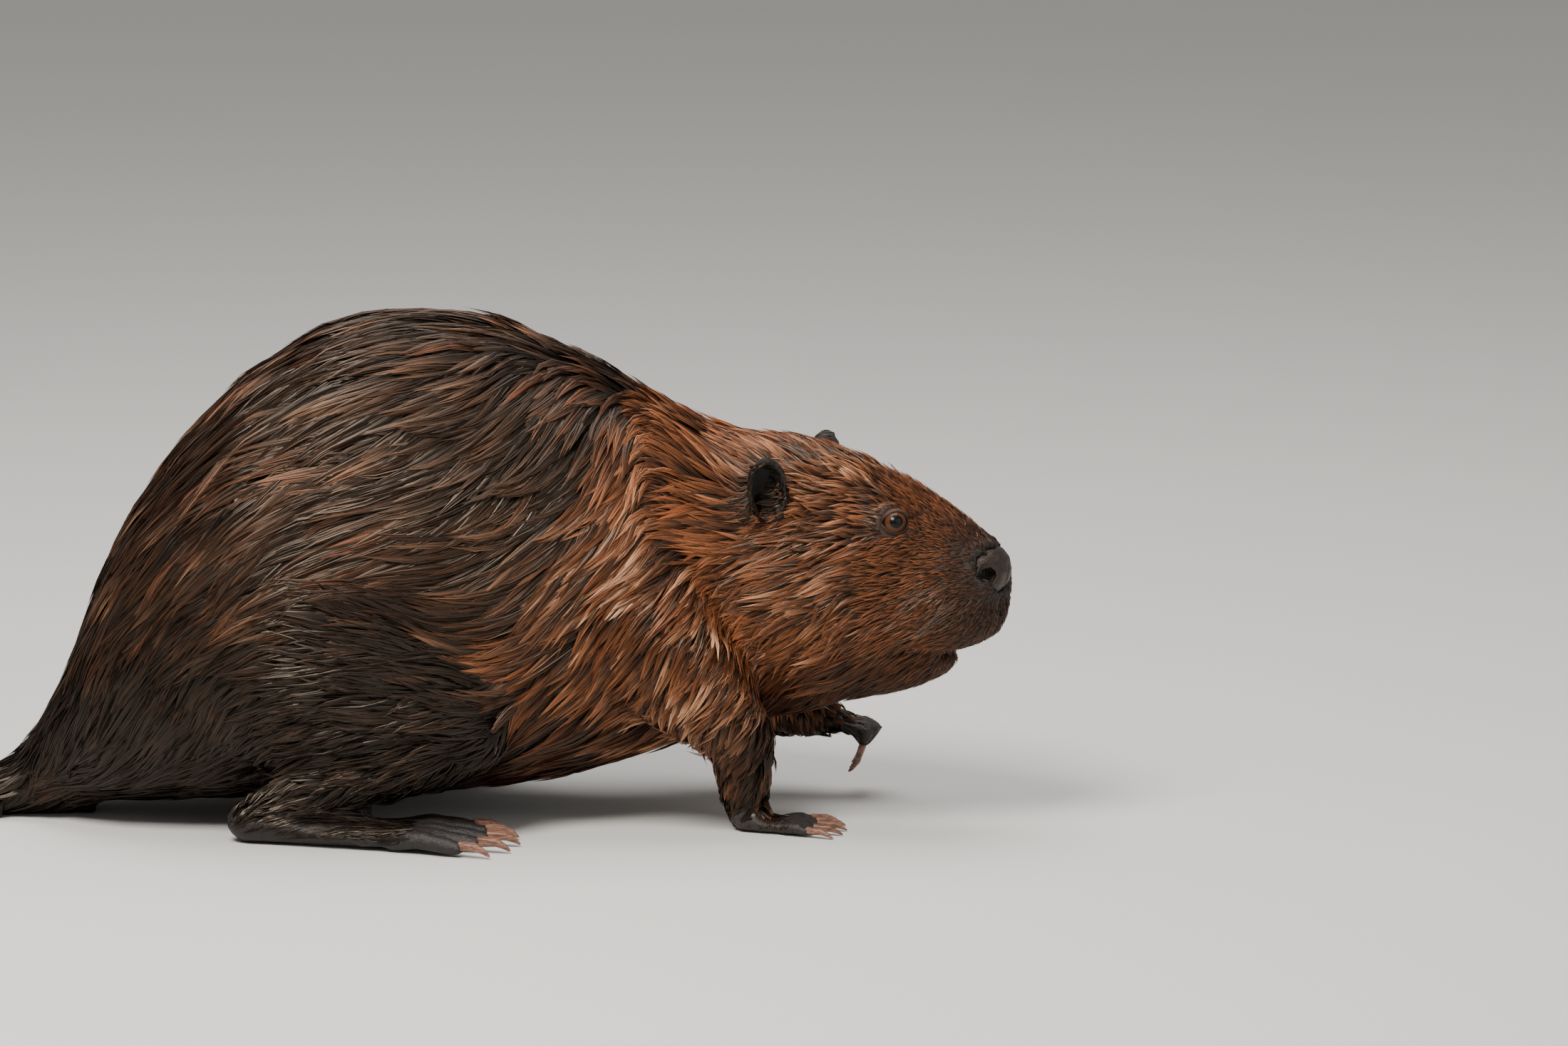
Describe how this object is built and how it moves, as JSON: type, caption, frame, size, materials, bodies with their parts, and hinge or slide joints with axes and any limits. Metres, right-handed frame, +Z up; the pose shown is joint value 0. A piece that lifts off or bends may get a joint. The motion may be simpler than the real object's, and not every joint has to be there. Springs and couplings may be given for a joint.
{
  "type": "beaver",
  "caption": "Life-size North American beaver mid-step, hunched, head turned right, left forefoot lifted, flat scaly tail on the floor.",
  "frame": {"origin": "on the floor under the middle of the whole animal's box", "axes": "+X the way the trunk faces, +Y the animal's left, +Z up"},
  "size_m": [0.8562, 0.3198, 0.314],
  "materials": {
    "body coat": "wet guard hair in pointed locks",
    "face coat": "short wet hair",
    "ear coat": "short dark hair on thin skin",
    "tail scales": "scaly leathery skin",
    "foot skin": "bare leathery skin with short hair above",
    "claws": "smooth horn",
    "nose leather": "moist leathery skin",
    "eyes": "wet and glossy"
  },
  "bodies": {
    "root": {"ear_left": "ear coat", "ear_right": "ear coat", "eye_left": "eyes", "eye_right": "eyes", "foreclaw_left_1": "claws", "foreclaw_left_2": "claws", "foreclaw_left_3": "claws", "foreclaw_left_4": "claws", "foreclaw_left_5": "claws", "foreclaw_right_1": "claws", "foreclaw_right_2": "claws", "foreclaw_right_3": "claws", "foreclaw_right_4": "claws", "foreclaw_right_5": "claws", "forefoot_left": "foot skin", "forefoot_right": "foot skin", "foreleg_left": "body coat", "foreleg_right": "body coat", "head": "face coat", "hindclaw_left_1": "claws", "hindclaw_left_2": "claws", "hindclaw_left_3": "claws", "hindclaw_left_4": "claws", "hindclaw_left_5": "claws", "hindclaw_right_1": "claws", "hindclaw_right_2": "claws", "hindclaw_right_3": "claws", "hindclaw_right_4": "claws", "hindclaw_right_5": "claws", "hindfoot_left": "foot skin", "hindfoot_right": "foot skin", "hindleg_left": "body coat", "hindleg_right": "body coat", "jaw": "face coat", "neck": "body coat", "nose": "nose leather", "tail_paddle": "tail scales", "tail_root": "body coat", "trunk": "body coat"}
  },
  "joints": []
}
